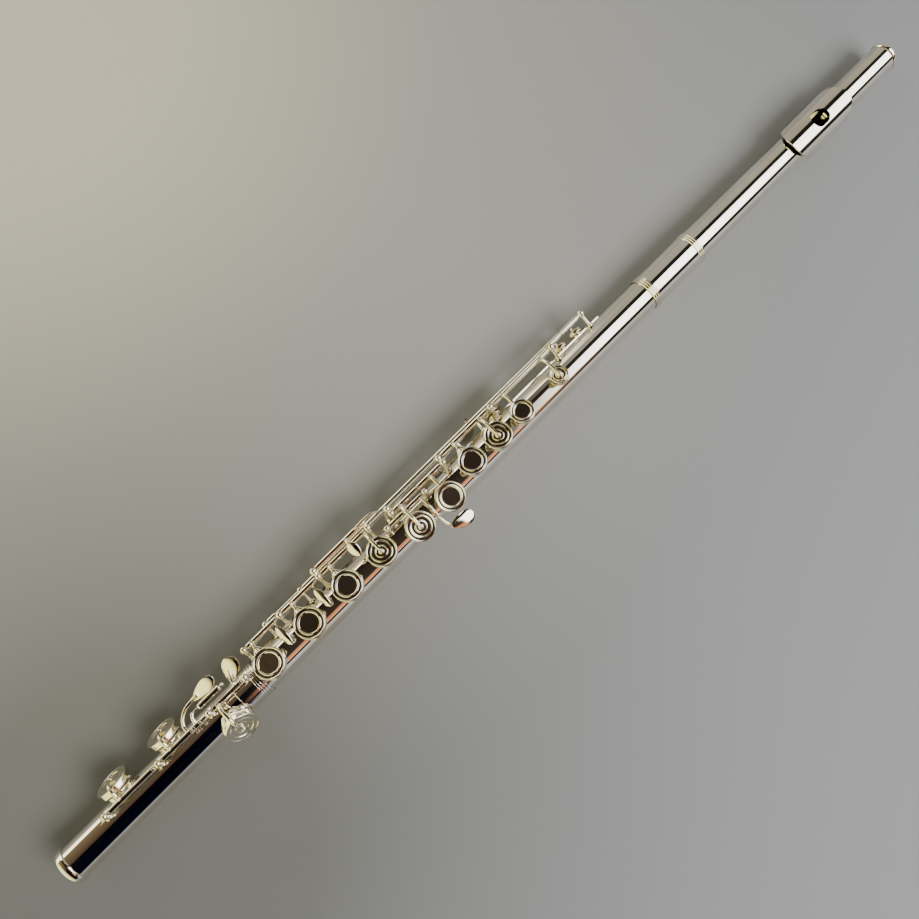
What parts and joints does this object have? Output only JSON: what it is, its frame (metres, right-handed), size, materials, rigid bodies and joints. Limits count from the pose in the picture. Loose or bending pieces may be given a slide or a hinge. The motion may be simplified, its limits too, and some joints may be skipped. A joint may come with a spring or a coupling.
{
  "type": "concert flute",
  "caption": "Silver-plated concert flute with closed holes, offset G keys and a C foot; sprung padded keys on hinge rods, sliding head joint and turning foot joint.",
  "frame": {"origin": "middle of the crown's flat end face, on the tube's axis", "axes": "+X along the tube towards the foot end, +Z out of the key tops, -Y towards the player's side with the hinge rods"},
  "size_m": [0.672, 0.0445, 0.0333],
  "materials": {
    "silver_plate": "polished silver plate on nickel silver",
    "hinge_steel": "ground steel rod",
    "pad_skin": "felt pad under a thin yellowish skin",
    "cork": "natural cork"
  },
  "bodies": {
    "body": {"body_tube": "silver_plate", "barrel": "silver_plate", "left_hand_rib": "silver_plate", "right_hand_rib": "silver_plate", "left_hand_rod": "hinge_steel", "right_hand_rod": "hinge_steel", "side_lever_rod": "hinge_steel", "g_key_rod": "hinge_steel", "g_sharp_rod": "hinge_steel", "thumb_rod": "hinge_steel"},
    "head": {"head_tube": "silver_plate", "lip_plate": "silver_plate", "embouchure_riser": "silver_plate", "cork_stopper": "cork", "stopper_screw": "silver_plate", "stopper_nut": "silver_plate"},
    "crown": {"crown": "silver_plate"},
    "foot": {"foot_tube": "silver_plate", "foot_rib": "silver_plate", "foot_rod": "hinge_steel"},
    "c_key": {"c_key": "silver_plate", "c_pad": "pad_skin", "c_sharp_pad": "pad_skin"},
    "b_flat_key": {"b_flat_key": "silver_plate", "b_flat_pad": "pad_skin"},
    "a_key": {"a_key": "silver_plate", "a_pad": "pad_skin"},
    "upper_g_key": {"upper_g_key": "silver_plate", "upper_g_pad": "pad_skin"},
    "lower_g_key": {"lower_g_key": "silver_plate", "lower_g_pad": "pad_skin"},
    "f_sharp_key": {"f_sharp_key": "silver_plate", "f_sharp_pad": "pad_skin"},
    "f_key": {"f_key": "silver_plate", "f_pad": "pad_skin"},
    "e_key": {"e_key": "silver_plate", "e_pad": "pad_skin"},
    "d_key": {"d_key": "silver_plate", "d_pad": "pad_skin"},
    "g_sharp_key": {"g_sharp_key": "silver_plate", "g_sharp_pad": "pad_skin"},
    "thumb_b_key": {"thumb_b_key": "silver_plate", "thumb_b_pad": "pad_skin"},
    "d_sharp_trill_key": {"d_sharp_trill_key": "silver_plate", "d_sharp_trill_pad": "pad_skin"},
    "d_trill_key": {"d_trill_key": "silver_plate", "d_trill_pad": "pad_skin"},
    "foot_d_sharp_key": {"foot_d_sharp_key": "silver_plate", "foot_d_sharp_pad": "pad_skin"},
    "foot_c_sharp_key": {"foot_c_sharp_key": "silver_plate", "foot_c_sharp_pad": "pad_skin"},
    "foot_c_key": {"foot_c_key": "silver_plate", "foot_c_pad": "pad_skin"},
    "thumb_b_flat_lever": {"thumb_b_flat_lever": "silver_plate"},
    "side_b_flat_lever": {"side_b_flat_lever": "silver_plate"},
    "c_roller": {"c_roller": "silver_plate"}
  },
  "joints": [
    {"name": "head_tuning_slide", "type": "slide", "parent": "body", "child": "head", "axis": [-1, 0, 0], "range_m": [0, 0.015]},
    {"name": "crown_turn", "type": "hinge", "parent": "head", "child": "crown", "pos_m": [0, 0, 0], "axis": [1, 0, 0], "continuous": true},
    {"name": "foot_turn", "type": "hinge", "parent": "body", "child": "foot", "pos_m": [0.54, 0, 0], "axis": [1, 0, 0], "range_deg": [-20, 20]},
    {"name": "c_key_press", "type": "hinge", "parent": "body", "child": "c_key", "pos_m": [0.314, -0.016, 0.011], "axis": [-1, 0, 0], "range_deg": [0, 8.4], "stiffness_Nm_per_rad": 0.02, "springref_deg": -17.19},
    {"name": "b_flat_key_press", "type": "hinge", "parent": "body", "child": "b_flat_key", "pos_m": [0.3485, -0.016, 0.011], "axis": [-1, 0, 0], "range_deg": [0, 8.4], "stiffness_Nm_per_rad": 0.02, "springref_deg": -17.19},
    {"name": "a_key_press", "type": "hinge", "parent": "body", "child": "a_key", "pos_m": [0.369, -0.016, 0.011], "axis": [-1, 0, 0], "range_deg": [0, 8.4], "stiffness_Nm_per_rad": 0.02, "springref_deg": -17.19},
    {"name": "f_sharp_key_press", "type": "hinge", "parent": "body", "child": "f_sharp_key", "pos_m": [0.4394, -0.016, 0.011], "axis": [-1, 0, 0], "range_deg": [0, 8.4], "stiffness_Nm_per_rad": 0.02, "springref_deg": -17.19},
    {"name": "f_key_press", "type": "hinge", "parent": "body", "child": "f_key", "pos_m": [0.4653, -0.016, 0.011], "axis": [-1, 0, 0], "range_deg": [0, 8.4], "stiffness_Nm_per_rad": 0.02, "springref_deg": -17.19},
    {"name": "e_key_press", "type": "hinge", "parent": "body", "child": "e_key", "pos_m": [0.4934, -0.016, 0.011], "axis": [-1, 0, 0], "range_deg": [0, 8.4], "stiffness_Nm_per_rad": 0.02, "springref_deg": -17.19},
    {"name": "d_key_press", "type": "hinge", "parent": "body", "child": "d_key", "pos_m": [0.523, -0.016, 0.011], "axis": [-1, 0, 0], "range_deg": [0, 8.4], "stiffness_Nm_per_rad": 0.02, "springref_deg": -17.19},
    {"name": "upper_g_key_press", "type": "hinge", "parent": "body", "child": "upper_g_key", "pos_m": [0.3915, -0.0124, 0.0122], "axis": [-1, 0, 0], "range_deg": [0, 8.4], "stiffness_Nm_per_rad": 0.02, "springref_deg": -17.19},
    {"name": "lower_g_key_press", "type": "hinge", "parent": "body", "child": "lower_g_key", "pos_m": [0.4148, -0.0124, 0.0122], "axis": [-1, 0, 0], "range_deg": [0, 8.4], "stiffness_Nm_per_rad": 0.02, "springref_deg": -17.19},
    {"name": "g_sharp_key_press", "type": "hinge", "parent": "body", "child": "g_sharp_key", "pos_m": [0.414, -0.008, 0.0115], "axis": [-1, 0, 0], "range_deg": [0, 10], "stiffness_Nm_per_rad": 0.02, "springref_deg": -17.19},
    {"name": "d_sharp_trill_key_press", "type": "hinge", "parent": "body", "child": "d_sharp_trill_key", "pos_m": [0.271, -0.018, 0.0075], "axis": [-1, 0, 0], "range_deg": [0, 12], "stiffness_Nm_per_rad": 0.02, "springref_deg": -17.19},
    {"name": "d_trill_key_press", "type": "hinge", "parent": "body", "child": "d_trill_key", "pos_m": [0.381, -0.018, 0.0075], "axis": [-1, 0, 0], "range_deg": [0, 12], "stiffness_Nm_per_rad": 0.02, "springref_deg": -17.19},
    {"name": "thumb_b_key_press", "type": "hinge", "parent": "body", "child": "thumb_b_key", "pos_m": [0.338, -0.0179, 0.0026], "axis": [1, 0, 0], "range_deg": [0, 12.5], "stiffness_Nm_per_rad": 0.02, "springref_deg": -17.19},
    {"name": "thumb_b_flat_lever_press", "type": "hinge", "parent": "body", "child": "thumb_b_flat_lever", "pos_m": [0.3576, -0.0179, 0.0026], "axis": [1, 0, 0], "range_deg": [0, 6], "stiffness_Nm_per_rad": 0.02, "springref_deg": -17.19},
    {"name": "side_b_flat_lever_press", "type": "hinge", "parent": "body", "child": "side_b_flat_lever", "pos_m": [0.4547, -0.0201, 0.0116], "axis": [-1, 0, 0], "range_deg": [0, 8], "stiffness_Nm_per_rad": 0.02, "springref_deg": -17.19},
    {"name": "foot_d_sharp_key_press", "type": "hinge", "parent": "foot", "child": "foot_d_sharp_key", "pos_m": [0.551, -0.005, 0.0136], "axis": [1, 0, 0], "range_deg": [0, 10], "stiffness_Nm_per_rad": 0.02, "springref_deg": -17.19},
    {"name": "foot_c_sharp_key_press", "type": "hinge", "parent": "foot", "child": "foot_c_sharp_key", "pos_m": [0.5864, -0.005, 0.0136], "axis": [1, 0, 0], "range_deg": [0, 8.5], "stiffness_Nm_per_rad": 0.02, "springref_deg": -17.19},
    {"name": "foot_c_key_press", "type": "hinge", "parent": "foot", "child": "foot_c_key", "pos_m": [0.6012, -0.005, 0.0136], "axis": [1, 0, 0], "range_deg": [0, 8.5], "stiffness_Nm_per_rad": 0.02, "springref_deg": -17.19},
    {"name": "c_roller_spin", "type": "hinge", "parent": "foot_c_key", "child": "c_roller", "pos_m": [0.5578, -0.01103, 0.0145], "axis": [1, 0, 0], "continuous": true}
  ],
  "couplings": [
    {"joint": "b_flat_key_press", "follows": "a_key_press", "ratio": 1},
    {"joint": "lower_g_key_press", "follows": "upper_g_key_press", "ratio": 1},
    {"joint": "f_sharp_key_press", "follows": "f_key_press", "ratio": 1},
    {"joint": "foot_c_sharp_key_press", "follows": "foot_c_key_press", "ratio": 1}
  ]
}
